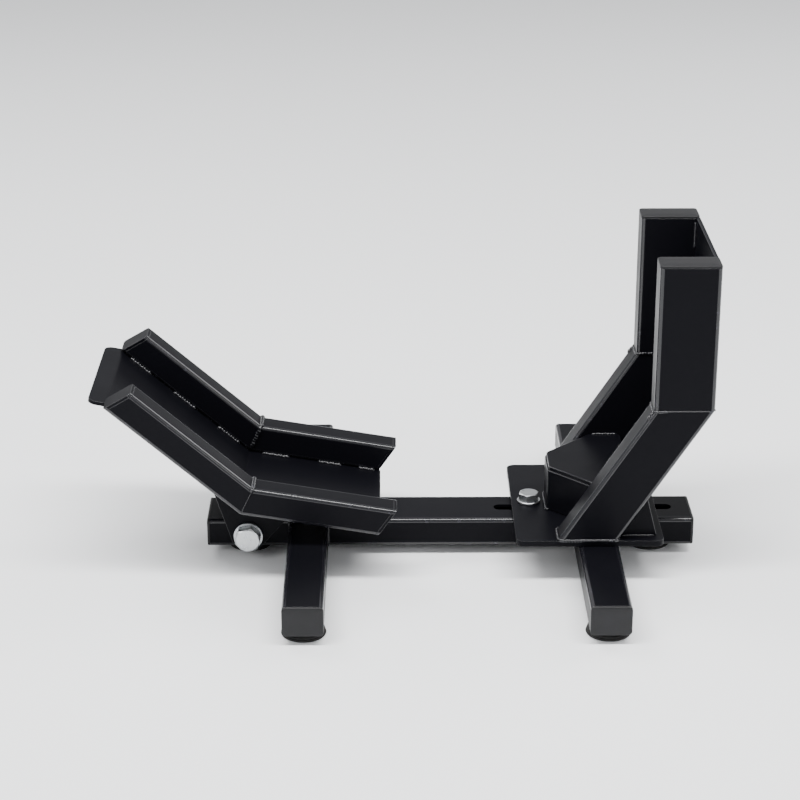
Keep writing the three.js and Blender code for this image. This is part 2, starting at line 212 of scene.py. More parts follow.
def show(name, verts, faces, materials, body, replaces=(), edges=()):
    """Makes a piece of the object that rides on a body. Its listed edge faces take the second material,
    the painted edge highlight.
    """
    mesh = bpy.data.meshes.new(name)
    mesh.from_pydata([tuple(v) for v in verts], [], faces)
    bm = bmesh.new()
    bm.from_mesh(mesh)
    bmesh.ops.recalc_face_normals(bm, faces=bm.faces)
    bm.faces.ensure_lookup_table()
    for face in bm.faces:
        face.smooth = True
    for i in edges:
        bm.faces[i].material_index = 1
    bm.to_mesh(mesh)
    bm.free()
    for material in materials:
        mesh.materials.append(material)
    piece = bpy.data.objects.new(name, mesh)
    bpy.context.scene.collection.objects.link(piece)
    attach(piece, body)
    if replaces:
        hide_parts(*replaces)
    return piece


def soften(piece, width=0.5, sharper_than=40):
    """Rounds a piece's sharp edges, with the painted edge highlight on them, and keeps its flats flat.
    """
    bevel = piece.modifiers.new("rounded_edges", "BEVEL")
    bevel.width = width * mm
    bevel.segments = 3
    bevel.limit_method = "ANGLE"
    bevel.angle_limit = math.radians(sharper_than)
    bevel.material = 1 if len(piece.data.materials) > 1 else -1
    flats = piece.modifiers.new("flat_faces", "WEIGHTED_NORMAL")
    flats.keep_sharp = True
    return piece


def on_plane(point, axis, plane):
    """Where a line along an axis meets a plane given as (point, normal)."""
    q, normal = plane
    return point + axis * ((q - point).dot(normal) / axis.dot(normal))


def ring_on(section, centre, across, up, axis, plane):
    """A section's points, moved along its axis until they lie on a plane."""
    return [on_plane(centre + across * u + up * v, axis, plane) for u, v in section]


def bar_between(name, outline, hole, centre, across, up, start, end, body, replaces):
    """A tube or a solid bar, from one cutting plane to another."""
    axis = across.cross(up)
    rings = [ring_on(outline, centre, across, up, axis, plane) for plane in (start, end)]
    n = len(outline)
    verts = rings[0] + rings[1]
    faces = [(i, (i + 1) % n, n + (i + 1) % n, n + i) for i in range(n)]
    if hole:
        for plane in (start, end):
            verts += ring_on(hole, centre, across, up, axis, plane)
        for i in range(n):
            j = (i + 1) % n
            faces.append((2 * n + i, 3 * n + i, 3 * n + j, 2 * n + j))
            faces.append((i, 2 * n + i, 2 * n + j, j))
            faces.append((n + i, n + j, 3 * n + j, 3 * n + i))
    else:
        faces += [tuple(range(n)), tuple(range(n, 2 * n))]
    # The rounded corners take the lighter, glossier coat, a painted highlight.
    corners = [i for i in range(n) if i % (CORNER_STEPS + 1) < CORNER_STEPS]
    piece = show(name, verts, faces, (coat, coat_highlight), body, replaces, corners)
    return soften(piece, 0.35)


def square_tube(width, height, wall=WALL):
    """Outer and inner outlines of a rectangular tube."""
    inside = rounded_rectangle(width - 2 * wall, height - 2 * wall, CORNER - wall)
    return rounded_rectangle(width, height, CORNER), inside


ACROSS = Vector((0, 1, 0))
kink_plane = (at(0, 0, AXLE_HEIGHT), facing(180 - KINK_LEAN))
rail_outline, rail_hole = square_tube(TUBE, TUBE)
rail_middle = WHEEL_RADIUS - GAP - TUBE / 2
RAILS = {
    "long": (LONG_ANGLE, ramp_point(RAIL_TOP, LONG_ANGLE, LONG_RAIL_RUN), LONG_END_FACING),
    "short": (SHORT_ANGLE, ramp_point(RAIL_TOP, SHORT_ANGLE, -SHORT_RAIL_RUN), SHORT_END_FACING),
}
for side, sign in SIDES.items():
    for length, (angle, end, end_facing) in RAILS.items():
        centre = ramp_point(rail_middle, angle, 0, sign * RAIL_Y)
        up = facing(90 - angle)
        normal = facing(end_facing)
        tube_end = (end - normal * (END_PLATE * mm), normal)
        name = f"rail_{length}_{side}"
        bar_between(
            f"{name}_tube", rail_outline, rail_hole, centre, ACROSS, up,
            kink_plane, tube_end, "rocker", [name],
        )
        name = f"rail_end_plate_{length}_{side}"
        bar_between(
            f"{name}_steel", rail_outline, None, centre, ACROSS, up,
            (end - normal * ((END_PLATE - 0.1) * mm), normal), (end, normal), "rocker", [name],
        )

# ---------------------------------------------------------------- ramp plate
# One 4 mm plate, bent twice on a brake: a short entry lip, the long ramp and the short ramp.
# It lies under the rails and is stitch-welded to them along the channel.

PLATE = 4.0
LIP_ANGLE = 11.0
LIP_LENGTH = 18.0
LONG_PLATE_RUN = 80.0
SHORT_PLATE_RUN = 50.0
RAMP_HALF_WIDTH = 78.0
BEND_RADIUS = 6.0
LIP_CORNER = 9.0


def fillet(points, radius, steps=8):
    """Replaces each inner corner of a line by an arc of the given radius, in metres."""
    line = [points[0]]
    for before, corner, after in zip(points, points[1:], points[2:]):
        into = (before - corner).normalized()
        out = (after - corner).normalized()
        half = into.angle(out) / 2
        reach = radius / math.tan(half)
        middle = corner + (into + out).normalized() * (radius / math.sin(half))
        first = corner + into * reach - middle
        last = corner + out * reach - middle
        for i in range(steps + 1):
            line.append(middle + first.slerp(last, i / steps).normalized() * radius)
    line.append(points[-1])
    return line


def running_length(line):
    lengths = [0.0]
    for a, b in zip(line, line[1:]):
        lengths.append(lengths[-1] + (b - a).length)
    return lengths


def subdivide(line, spacing):
    """Adds points so that no step of a line is longer than the spacing."""
    out = [line[0]]
    for a, b in zip(line, line[1:]):
        count = max(1, math.ceil((b - a).length / spacing))
        out += [a.lerp(b, i / count) for i in range(1, count + 1)]
    return out


half_plate = PLATE / 2
bend = ramp_point(WHEEL_RADIUS + half_plate, LONG_ANGLE, LONG_PLATE_RUN)
middle_line = [
    bend + facing(180 - LIP_ANGLE) * (LIP_LENGTH * mm),
    bend,
    ramp_point(WHEEL_RADIUS + half_plate, LONG_ANGLE, -kink_run(WHEEL_RADIUS + half_plate)),
    ramp_point(WHEEL_RADIUS + half_plate, SHORT_ANGLE, -SHORT_PLATE_RUN),
]
corner_stops = [LIP_CORNER * (1 - math.cos(math.radians(15 * i))) * mm for i in range(1, 7)]
line = fillet(middle_line, BEND_RADIUS * mm)
first_leg = (line[1] - line[0]).normalized()
last_leg = (line[-1] - line[-2]).normalized()
line = (
    [line[0]]
    + [line[0] + first_leg * d for d in corner_stops]
    + line[1:-1]
    + [line[-1] - last_leg * d for d in reversed(corner_stops)]
    + [line[-1]]
)
runs = running_length(line)
verts = []
for i, point in enumerate(line):
    along = (line[min(i + 1, len(line) - 1)] - line[max(i - 1, 0)]).normalized()
    normal = ACROSS.cross(along)
    from_end = min(runs[i], runs[-1] - runs[i], LIP_CORNER * mm) / mm
    cut_back = LIP_CORNER - math.sqrt(LIP_CORNER**2 - (LIP_CORNER - from_end) ** 2)
    half_width = (RAMP_HALF_WIDTH - cut_back) * mm
    for side_sign, layer in ((-1, -1), (1, -1), (1, 1), (-1, 1)):
        offset = ACROSS * (side_sign * half_width) + normal * (layer * half_plate * mm)
        verts.append(point + offset)
faces = [(0, 1, 2, 3), tuple(len(verts) - 4 + k for k in (3, 2, 1, 0))]
for i in range(len(line) - 1):
    for k in range(4):
        a, b = 4 * i + k, 4 * i + (k + 1) % 4
        faces.append((a, a + 4, b + 4, b))
ramp = show(
    "ramp_plate_folded", verts, faces, (coat, coat_highlight), "rocker", ["ramp_plate"]
)
soften(ramp, 0.5, sharper_than=50)

# ---------------------------------------------------------------- welds of the rocker
# The joints are run by hand with a wire-fed torch: thick ripples over the mitres, ground down on
# their outer side, and short stitches that hold the rails and the pivot lugs to the ramp.

RIPPLE = 3.0
BEAD_STEP = 0.6
BEAD_SIDES = 10


def bead(path, radius):
    """Points and faces of one weld bead along a line: a rippled ridge with rounded ends."""
    line = subdivide(path, BEAD_STEP * mm)
    runs = running_length(line)
    verts = []
    faces = []
    side = None
    for i, point in enumerate(line):
        along = (line[min(i + 1, len(line) - 1)] - line[max(i - 1, 0)]).normalized()
        if side is None:
            side = along.orthogonal().normalized()
        side = (side - along * side.dot(along)).normalized()
        other = along.cross(side)
        run = runs[i] / mm
        left = max(radius - min(runs[i], runs[-1] - runs[i]) / mm, 0.0)
        rounding = math.sqrt(max(1 - (left / radius) ** 2, 0.02))
        ripple = 0.76 + 0.24 * abs(math.cos(math.pi * run / RIPPLE))
        drift = 0.12 * radius * math.sin(run * 0.83 + radius)
        r = radius * rounding * ripple
        for k in range(BEAD_SIDES):
            a = 2 * math.pi * k / BEAD_SIDES
            out = side * (r * math.cos(a) + drift) + other * (r * math.sin(a))
            verts.append(point + out * mm)
    last = len(verts) - BEAD_SIDES
    for i in range(0, last, BEAD_SIDES):
        for k in range(BEAD_SIDES):
            j = (k + 1) % BEAD_SIDES
            faces.append((i + k, i + j, i + BEAD_SIDES + j, i + BEAD_SIDES + k))
    faces.append(tuple(range(BEAD_SIDES)))
    faces.append(tuple(range(last, len(verts))))
    return verts, faces


def weld(name, paths, body):
    """One piece holding several beads, each given as (line, radius)."""
    verts = []
    faces = []
    for path, radius in paths:
        points, sides = bead(path, radius)
        faces += [tuple(len(verts) + k for k in face) for face in sides]
        verts += points
    # The beads take the lighter, glossier coat, which paints a highlight on them.
    return show(name, verts, faces, (coat_highlight,), body)


def over_three_sides(ring, sign):
    """The part of a section's ring that runs up the outer side, over the top and down inside."""
    upper = 2 * (CORNER_STEPS + 1)
    run = [ring[-1]] + ring[: upper + 1]
    return run if sign > 0 else run[::-1]


MITRE_BEAD = 2.7
GROUND_BEAD = 0.8
STITCH_BEAD = 2.3
# Runs past the tyre's contact, on each ramp, between which the rails are stitched.
LONG_STITCHES = ((-78, -48), (-18, 12), (42, 70))
SHORT_STITCHES = ((48, 78), (-8, 18), (-44, -26))
# Radius and half width of the stitches' lines: inside the channel, and outside along the plate.
STITCH_LINES = ((WHEEL_RADIUS - 0.5, CHANNEL_HALF - 0.3), (WHEEL_RADIUS + 1, RAMP_HALF_WIDTH))
LUG_INNER = 30.6
LUG_THICKNESS = 6.0
LUG_LONG_RUN = 50
LUG_SHORT_RUN = 60

for side, sign in SIDES.items():
    centre = ramp_point(rail_middle, LONG_ANGLE, 0, sign * RAIL_Y)
    up = facing(90 - LONG_ANGLE)
    mitre = ring_on(rail_outline, centre, ACROSS, up, ACROSS.cross(up), kink_plane)
    mitre_line = over_three_sides(mitre, sign)
    beads = [(mitre_line[:2], GROUND_BEAD), (mitre_line[1:], MITRE_BEAD)]
    for angle, stitches in ((LONG_ANGLE, LONG_STITCHES), (SHORT_ANGLE, SHORT_STITCHES)):
        for start, stop in stitches:
            for radius, y in STITCH_LINES:
                stitch = [ramp_point(radius, angle, run, sign * y) for run in (start, stop)]
                beads.append((stitch, STITCH_BEAD))
    weld(f"rail_welds_{side}", beads, "rocker")

    beads = []
    for y in (LUG_INNER - 0.5, LUG_INNER + LUG_THICKNESS + 0.5):
        radius = WHEEL_RADIUS + PLATE + 0.4
        beads.append(
            (
                [
                    ramp_point(radius, LONG_ANGLE, LUG_LONG_RUN - kink_run(WHEEL_RADIUS), sign * y),
                    ramp_point(radius, LONG_ANGLE, -kink_run(radius), sign * y),
                    ramp_point(radius, SHORT_ANGLE, kink_run(WHEEL_RADIUS) - LUG_SHORT_RUN, sign * y),
                ],
                STITCH_BEAD,
            )
        )
    weld(f"lug_welds_{side}", beads, "rocker")

# ---------------------------------------------------------------- flat steel pieces
# Lugs, gussets, stop plates and the foot plate are laser-cut from plate, and the spine is drilled
# and slotted tube. Cutting leaves square edges, which are only broken with a grinder before coating.


def cut_steel(cad_node, body, edge=0.5, sharper_than=40, materials=None):
    """The shape of a CAD piece with its flats whole again and its edges rounded."""
    bm = bmesh.new()
    bm.from_mesh(nodes[cad_node].data)
    bmesh.ops.remove_doubles(bm, verts=bm.verts, dist=0.002 * mm)
    bmesh.ops.dissolve_limit(
        bm, angle_limit=math.radians(0.5), verts=bm.verts, edges=bm.edges, use_dissolve_boundaries=False
    )
    bm.verts.index_update()
    verts = [v.co.copy() for v in bm.verts]
    faces = [tuple(v.index for v in f.verts) for f in bm.faces]
    bm.free()
    name = f"{cad_node}_finished"
    piece = show(name, verts, faces, materials or (coat, coat_highlight), body, [cad_node])
    return soften(piece, edge, sharper_than)


for side in SIDES:
    cut_steel(f"pivot_lug_{side}", "rocker")
    cut_steel(f"gusset_{side}", "upright")
cut_steel("stop_plate_upper", "upright")
cut_steel("stop_plate_lower", "upright")
cut_steel("foot_plate", "upright", 0.7)
spine = cut_steel("spine_tube", "base", 0.4)
# The spine's rolled corners face partly sideways and partly up or down, and take the painted edge
# highlight.
for face in spine.data.polygons:
    if abs(face.normal.x) < 0.01 and min(abs(face.normal.y), abs(face.normal.z)) > 0.05:
        face.material_index = 1

# ---------------------------------------------------------------- upright tubes
# Two 60 by 30 mm tubes stand beside the tyre on two shallower tubes that lean back to the foot
# plate. The seam between them is ground flush outside and left as a thick weld towards the tyre.

UPRIGHT_DEPTH = 60.0
UPRIGHT_TOP = 335.0
CAP_THICKNESS = 3.0
SEAM_HEIGHT = 185.0
LEAN_ANGLE = 57.0
FOOT_PLATE_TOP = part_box("foot_plate")[1].z / mm
LEAN_BOTTOM = FOOT_PLATE_TOP + GAP
UP = Vector((0, 0, 1))
SEAM_BEAD = 1.7
SEAM_RETURN = 14.0
BACK_BEAD = 1.2
FOOT_BEAD = 2.1
# A second pass thickens the corner that takes the tyre's push, between these drops from the seam.
CORNER_BEAD = 2.5
CORNER_PASS = (2, 10)

upright_middle = BACK_FROM_AXLE - UPRIGHT_DEPTH / 2
lean_depth = UPRIGHT_DEPTH * math.sin(math.radians(LEAN_ANGLE))
lean_slope = math.tan(math.radians(LEAN_ANGLE))
standing_outline, standing_hole = square_tube(TUBE, UPRIGHT_DEPTH)
leaning_outline, leaning_hole = square_tube(TUBE, lean_depth)
seam_plane = (at(0, 0, SEAM_HEIGHT), UP)
foot_plane = (at(0, 0, LEAN_BOTTOM), UP)
leaning_up = facing(LEAN_ANGLE + 90)
leaning_axis = ACROSS.cross(leaning_up)


def lean_edge(z):
    """Outer edge of the leaning tubes at a height."""
    return BACK_FROM_AXLE - (SEAM_HEIGHT - z) / lean_slope


def lean_front(z):
    """Edge of the leaning tubes towards the tyre, at a height."""
    return lean_edge(z) - UPRIGHT_DEPTH


for side, sign in SIDES.items():
    centre = at(upright_middle, sign * RAIL_Y, SEAM_HEIGHT)
    top_plane = (at(0, 0, UPRIGHT_TOP - CAP_THICKNESS - GAP), UP)
    bar_between(
        f"upright_tube_{side}_steel", standing_outline, standing_hole, centre, ACROSS, facing(180),
        seam_plane, top_plane, "upright", [f"upright_tube_{side}"],
    )
    bar_between(
        f"leaning_tube_{side}_steel", leaning_outline, leaning_hole, centre, ACROSS, leaning_up,
        foot_plane, seam_plane, "upright", [f"leaning_tube_{side}"],
    )

    outer = sign * (CHANNEL_HALF + TUBE)
    inner = sign * CHANNEL_HALF
    front = BACK_FROM_AXLE - UPRIGHT_DEPTH
    turn = CORNER * (1 - math.sqrt(0.5))
    rear_seam = [
        at(front + SEAM_RETURN, outer, SEAM_HEIGHT),
        at(front + CORNER, outer, SEAM_HEIGHT - 0.5),
        at(front + turn, outer - sign * turn, SEAM_HEIGHT - 1),
        at(front, outer - sign * CORNER, SEAM_HEIGHT - 1),
        at(front, inner + sign * CORNER, SEAM_HEIGHT - 1),
        at(front + turn, inner + sign * turn, SEAM_HEIGHT - 1),
        at(front + CORNER, inner, SEAM_HEIGHT),
        at(BACK_FROM_AXLE - 8, inner, SEAM_HEIGHT),
    ]
    ground_ends = (front + SEAM_RETURN - 2, BACK_FROM_AXLE - CORNER)
    ground_seam = [at(x, outer - sign * 0.35, SEAM_HEIGHT) for x in ground_ends]
    back_ends = (outer - sign * 3, inner + sign * 3)
    back_seam = [at(BACK_FROM_AXLE - 0.3, y, SEAM_HEIGHT) for y in back_ends]
    corner_heights = [SEAM_HEIGHT - drop for drop in CORNER_PASS]
    corner_pass = [at(lean_front(z) + 1, outer - sign * 3, z) for z in corner_heights]
    foot_ring = ring_on(leaning_outline, centre, ACROSS, leaning_up, leaning_axis, foot_plane)
    weld(
        f"upright_welds_{side}",
        [
            (rear_seam, SEAM_BEAD),
            (corner_pass, CORNER_BEAD),
            (ground_seam, GROUND_BEAD),
            (back_seam, BACK_BEAD),
            (foot_ring + foot_ring[:1], FOOT_BEAD),
        ],
        "upright",
    )

# ---------------------------------------------------------------- stop plate and gusset welds
# The stop plates are let in flush with the backs of the tubes and held by stitches on both faces,
# with a full bead across each face where the two plates meet. A gusset has beads on both its sides,
# along the foot plate and up the leaning tube.

# Heights between which each stitch runs.
STOP_STITCHES = ((196, 226), (248, 278), (300, 328))
LOWER_STITCHES = ((60, 84), (106, 130), (150, 174))
CROSS_BEAD = 1.8
beads = []
for sign in SIDES.values():
    y = sign * CHANNEL_HALF
    for low, high in STOP_STITCHES:
        for x in (BACK_FROM_AXLE - 0.4, BACK_FROM_AXLE - PLATE - 0.4):
            beads.append(([at(x, y, low), at(x, y, high)], SEAM_BEAD))
    for low, high in LOWER_STITCHES:
        for inset in (0.4, PLATE / math.sin(math.radians(LEAN_ANGLE)) + 0.4):
            ends = [at(lean_edge(z) - inset, y, z) for z in (low, high)]
            beads.append((ends, SEAM_BEAD))
for x in (BACK_FROM_AXLE - 0.3, BACK_FROM_AXLE - PLATE - 0.8):
    beads.append(([at(x, y, SEAM_HEIGHT) for y in (-CHANNEL_HALF + 2, CHANNEL_HALF - 2)], CROSS_BEAD))
weld("stop_plate_welds", beads, "upright")

GUSSET_LENGTH = 39.0
GUSSET_HEIGHT = 43.0
GUSSET_HALF = 2.5
GUSSET_BEAD = 1.5
foot_x = lean_edge(LEAN_BOTTOM)
beads = []
for sign in SIDES.values():
    for offset in (-GUSSET_HALF, GUSSET_HALF):
        y = sign * RAIL_Y + offset
        foot_line = [at(x, y, LEAN_BOTTOM) for x in (foot_x + 3, foot_x + GUSSET_LENGTH - 2)]
        heights = (LEAN_BOTTOM + 3, LEAN_BOTTOM + GUSSET_HEIGHT - 2)
        tube_line = [at(lean_edge(z) + 0.4, y, z) for z in heights]
        beads += [(foot_line, GUSSET_BEAD), (tube_line, GUSSET_BEAD)]
weld("gusset_welds", beads, "upright")

# ---------------------------------------------------------------- yoke
# A 4 mm plate ties the leaning tubes together under the front of the tyre. It lies just inside
# the outline of a skirt of the same plate, bent round its narrow end, so both edges catch the light.

YOKE_REAR = 167.0
YOKE_SHOULDER = 214.0
YOKE_FRONT = 250.0
YOKE_TOP = 94.0
YOKE_REAR_HALF = 20.0
YOKE_HALF = CHANNEL_HALF - GAP
YOKE_CORNER = 9.0
YOKE_STEP = 1.5
YOKE_FOOT_BEAD = 1.9
YOKE_TOP_BEAD = 2.0
YOKE_SIDE_BEAD = 1.8

flare = Vector((YOKE_HALF - YOKE_REAR_HALF, YOKE_SHOULDER - YOKE_REAR)).normalized()


def yoke_line(inset, z):
    """The line round the narrow end at a height, moved inwards by the inset."""
    shoulder_x = YOKE_SHOULDER + inset / flare.x
    rear_half = YOKE_REAR_HALF - inset * (1 - flare.x) / flare.y
    corners = [
        at(shoulder_x, -YOKE_HALF, z),
        at(YOKE_REAR + inset, -rear_half, z),
        at(YOKE_REAR + inset, rear_half, z),
        at(shoulder_x, YOKE_HALF, z),
    ]
    return fillet(corners, (YOKE_CORNER - inset) * mm)


yoke_under = YOKE_TOP - PLATE
verts = []
for z in (yoke_under, YOKE_TOP):
    verts += yoke_line(YOKE_STEP, z) + [at(YOKE_FRONT, YOKE_HALF, z), at(YOKE_FRONT, -YOKE_HALF, z)]
n = len(verts) // 2
faces = [tuple(range(n)), tuple(range(n, 2 * n))]
faces += [(i, (i + 1) % n, n + (i + 1) % n, n + i) for i in range(n)]
skirt = [
    yoke_line(inset, z)
    for inset, z in (
        (0, LEAN_BOTTOM),
        (0, yoke_under + 0.1),
        (PLATE, yoke_under + 0.1),
        (PLATE, LEAN_BOTTOM),
    )
]
count = len(skirt[0])
first = len(verts)
verts += [point for line in skirt for point in line]
for k in range(4):
    a = first + k * count
    b = first + (k + 1) % 4 * count
    faces += [(a + i, a + i + 1, b + i + 1, b + i) for i in range(count - 1)]
skirt_end = [first + k * count for k in range(4)]
faces += [tuple(skirt_end), tuple(i + count - 1 for i in skirt_end)]
yoke = show("yoke_welded", verts, faces, (coat, coat_highlight), "upright", ["yoke"])
soften(yoke, 0.9, sharper_than=50)

yoke_foot = yoke_line(-0.6, LEAN_BOTTOM + 0.4)
beads = [([p for p in yoke_foot if abs(p.y) < (YOKE_HALF - 3) * mm], YOKE_FOOT_BEAD)]
for sign in SIDES.values():
    y = sign * (CHANNEL_HALF - 0.4)
    top_seam = [at(x, y, YOKE_TOP) for x in (YOKE_SHOULDER + 6, YOKE_FRONT - 3)]
    side_seam = [at(YOKE_SHOULDER - 0.6, y, z) for z in (LEAN_BOTTOM + 5, YOKE_TOP - 8)]
    beads += [(top_seam, YOKE_TOP_BEAD), (side_seam, YOKE_SIDE_BEAD)]
weld("yoke_welds", beads, "upright")

# ---------------------------------------------------------------- arms of the base
# Four lengths of 40 by 30 mm tube reach out from the spine and keep the stand from tipping.
# Each is welded all round to the side of the spine.

ARM_WIDTH = 40.0
ARM_REACH = 230.0
SPINE_HEIGHT = 30.0
SPINE_BOTTOM = 10.0
SPINE_HALF = 30.0
ARM_WALL_OVERLAP = 0.1
FLUSH_BEAD = 0.5
ALONG = Vector((1, 0, 0))

arm_outline, arm_hole = square_tube(ARM_WIDTH, SPINE_HEIGHT)
arm_weld = rounded_rectangle(ARM_WIDTH - 0.8, SPINE_HEIGHT - 0.8, CORNER)
spine_level = SPINE_BOTTOM + SPINE_HEIGHT / 2
for place in ("rear", "front"):
    low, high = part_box(f"arm_{place}_left")
    arm_x = (low.x + high.x) / 2
    for side, sign in SIDES.items():
        centre = Vector((arm_x, sign * SPINE_HALF * mm, spine_level * mm))
        root = (Vector((0, sign * (SPINE_HALF - ARM_WALL_OVERLAP) * mm, 0)), ACROSS)
        tip = (Vector((0, sign * ARM_REACH * mm, 0)), ACROSS)
        bar_between(
            f"arm_{place}_{side}_steel", arm_outline, arm_hole, centre, ALONG, UP,
            root, tip, "base", [f"arm_{place}_{side}"],
        )
        seam = (Vector((0, sign * (SPINE_HALF - 0.3) * mm, 0)), ACROSS)
        ring = ring_on(arm_weld, centre, ALONG, UP, -ACROSS, seam)
        beads = [(ring + ring[:1], STITCH_BEAD)]
        if place == "front":
            # The foot plate slides over these two, so their welds are ground flush on top.
            top_end = 2 * CORNER_STEPS + 1
            beads = [(ring[top_end:] + ring[:1], STITCH_BEAD), (ring[: top_end + 1], FLUSH_BEAD)]
        weld(f"arm_weld_{place}_{side}", beads, "base")

# ---------------------------------------------------------------- bolts, nuts and washers
# Bright zinc over forged and rolled steel: one M16 bolt is the rocker's pivot, and two M12 bolts
# clamp the foot plate to the spine. The plating is silvery with a soft, slightly cloudy shine.


def zinc_plate(name):
    material, tree, shader, place = new_material(name)
    clouds = node(
        tree,
        "ShaderNodeTexNoise",
        inputs={"Vector": place, "Scale": 1 / (6 * mm), "Detail": 5.0, "Roughness": 0.65},
    )
    tint = node(
        tree,
        "ShaderNodeMix",
        {"data_type": "RGBA"},
        {"Factor": clouds.outputs["Fac"], "A": srgb("#a9adb3"), "B": srgb("#d3d4d2")},
    )
    shine = node(
        tree,
        "ShaderNodeMapRange",
        inputs={
            "Value": clouds.outputs["Fac"],
            "From Min": 0.3,
            "From Max": 0.7,
            "To Min": 0.24,
            "To Max": 0.4,
        },
    )
    grain = node(
        tree,
        "ShaderNodeTexNoise",
        inputs={"Vector": place, "Scale": 1 / (0.5 * mm), "Detail": 2.0},
    )
    skin = node(
        tree,
        "ShaderNodeBump",
        inputs={"Height": grain.outputs["Fac"], "Strength": 0.15, "Distance": 0.03 * mm},
    )
    tree.links.new(tint.outputs["Result"], shader.inputs["Base Color"])
    tree.links.new(shine.outputs["Result"], shader.inputs["Roughness"])
    tree.links.new(skin.outputs["Normal"], shader.inputs["Normal"])
    shader.inputs["Metallic"].default_value = 1.0
    return material


zinc = zinc_plate("bright_zinc_plate")
TURN_STEPS = 72
HEX_CHAMFER = math.tan(math.radians(30))


def turned(name, profile_at, centre, axis, ring, body, cad_node):
    """A piece whose (radius, height) profile is given for each angle about an axis, in mm."""
    side = axis.orthogonal().normalized()
    other = axis.cross(side)
    profiles = [profile_at(2 * math.pi * i / TURN_STEPS) for i in range(TURN_STEPS)]
    count = len(profiles[0])
    verts = []
    for i, profile in enumerate(profiles):
        a = 2 * math.pi * i / TURN_STEPS
        out = side * math.cos(a) + other * math.sin(a)
        verts += [centre + (out * r + axis * h) * mm for r, h in profile]
    faces = []
    for i in range(TURN_STEPS):
        here = i * count
        there = (i + 1) % TURN_STEPS * count
        for k in range(count if ring else count - 1):
            j = (k + 1) % count
            faces.append((here + k, there + k, there + j, here + j))
    if not ring:
        faces.append(tuple(i * count for i in range(TURN_STEPS)))
        faces.append(tuple(i * count + count - 1 for i in range(TURN_STEPS)))
    piece = show(name, verts, faces, (zinc,), body, [cad_node])
    piece.data.set_sharp_from_angle(angle=math.radians(24))
    return piece


def hex_radius(across, angle):
    """Radius of a hexagon at an angle, its corners slightly rounded by forging."""
    flat = across / 2
    turn = (angle + math.pi / 6) % (math.pi / 3) - math.pi / 6
    return min(flat / math.cos(turn), 0.985 * across / math.sqrt(3))


def hex_bolt(name, cad_node, body, seat, axis, across, head, radius, shank, thread, pitch):
    """A hexagon bolt that points against its axis, its head on the seat."""
    face = 0.475 * across
    depth = 0.55 * pitch
    steps = int(thread / pitch * 6)

    def profile(angle):
        r = hex_radius(across, angle)
        rim = head - (r - face) * HEX_CHAMFER
        points = [(0.3, head), (face, head), (r, rim), (r, 0.6), (face, 0.0)]
        points += [(radius, 0.0), (radius, thread - shank)]
        for i in range(1, steps + 1):
            h = thread - shank - thread * i / steps
            phase = (h / pitch + angle / (2 * math.pi)) % 1
            groove = depth * abs(2 * phase - 1)
            points.append((min(radius - groove, radius - 1.6 + (h + shank)), h))
        return points + [(0.3, -shank)]

    return turned(name, profile, seat, axis, False, body, cad_node)


def hex_nut(name, cad_node, body, seat, axis, across, height, bore):
    face = 0.475 * across

    def profile(angle):
        r = hex_radius(across, angle)
        drop = (r - face) * HEX_CHAMFER
        outside = [(face, 0.0), (r, drop), (r, height - drop), (face, height)]
        return outside + [(bore + 1, height), (bore, height - 1), (bore, 1.0), (bore + 1, 0.0)]

    return turned(name, profile, seat, axis, True, body, cad_node)


def washer(name, cad_node, body, seat, axis, radius, bore, thickness):
    edge = 0.35
    corners = [
        (bore, edge), (bore + edge, 0), (radius - edge, 0), (radius, edge),
        (radius, thickness - edge), (radius - edge, thickness),
        (bore + edge, thickness), (bore, thickness - edge),
    ]
    return turned(name, lambda angle: corners, seat, axis, True, body, cad_node)


PIVOT = at(-140, 0, 25)
M16 = {"radius": 8.0, "across": 24.0, "head": 10.0, "nut": 13.0, "pitch": 2.0, "washer": 15.0}
M12 = {"radius": 6.0, "across": 19.0, "head": 7.5, "pitch": 1.75, "washer": 12.0}
WASHER = 2.5
lug_outer = LUG_INNER + LUG_THICKNESS
under_head = lug_outer + WASHER + 2 * GAP
hex_bolt(
    "pivot_bolt_m16", "pivot_bolt", "rocker", PIVOT - ACROSS * (under_head * mm), -ACROSS,
    M16["across"], M16["head"], M16["radius"], 2 * under_head + M16["nut"] + 3, 28.0, M16["pitch"],
)
hex_nut(
    "pivot_nut_m16", "pivot_nut", "rocker", PIVOT + ACROSS * (under_head * mm), ACROSS,
    M16["across"], M16["nut"], M16["radius"] + GAP,
)
for side, sign in SIDES.items():
    washer(
        f"pivot_washer_{side}_zinc", f"pivot_washer_{side}", "rocker",
        PIVOT + ACROSS * (sign * (lug_outer + GAP) * mm), ACROSS * sign,
        M16["washer"], M16["radius"] + GAP, WASHER,
    )

NUT_PLATE_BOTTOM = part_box("nut_plate")[0].z / mm
clamp_seat = FOOT_PLATE_TOP + 2 * GAP + WASHER
for place in ("rear", "front"):
    low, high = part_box(f"clamp_bolt_{place}")
    bolt_x = (low.x + high.x) / 2
    hex_bolt(
        f"clamp_bolt_{place}_m12", f"clamp_bolt_{place}", "upright",
        Vector((bolt_x, 0, clamp_seat * mm)), UP, M12["across"], M12["head"], M12["radius"],
        clamp_seat - NUT_PLATE_BOTTOM + 4, 18.0, M12["pitch"],
    )
    washer(
        f"clamp_washer_{place}_zinc", f"clamp_washer_{place}", "upright",
        Vector((bolt_x, 0, (FOOT_PLATE_TOP + GAP) * mm)), UP,
        M12["washer"], M12["radius"] + GAP, WASHER,
    )
cut_steel("nut_plate", "upright", 0.6, materials=(zinc,))
cut_steel("pivot_sleeve", "base", 0.5, materials=(zinc,))

# ---------------------------------------------------------------- end caps
# Push-in caps of black polyethylene close the tubes. They are moulded with a fine spark-eroded
# grain, which makes them a shade softer and duller than the coat beside them.


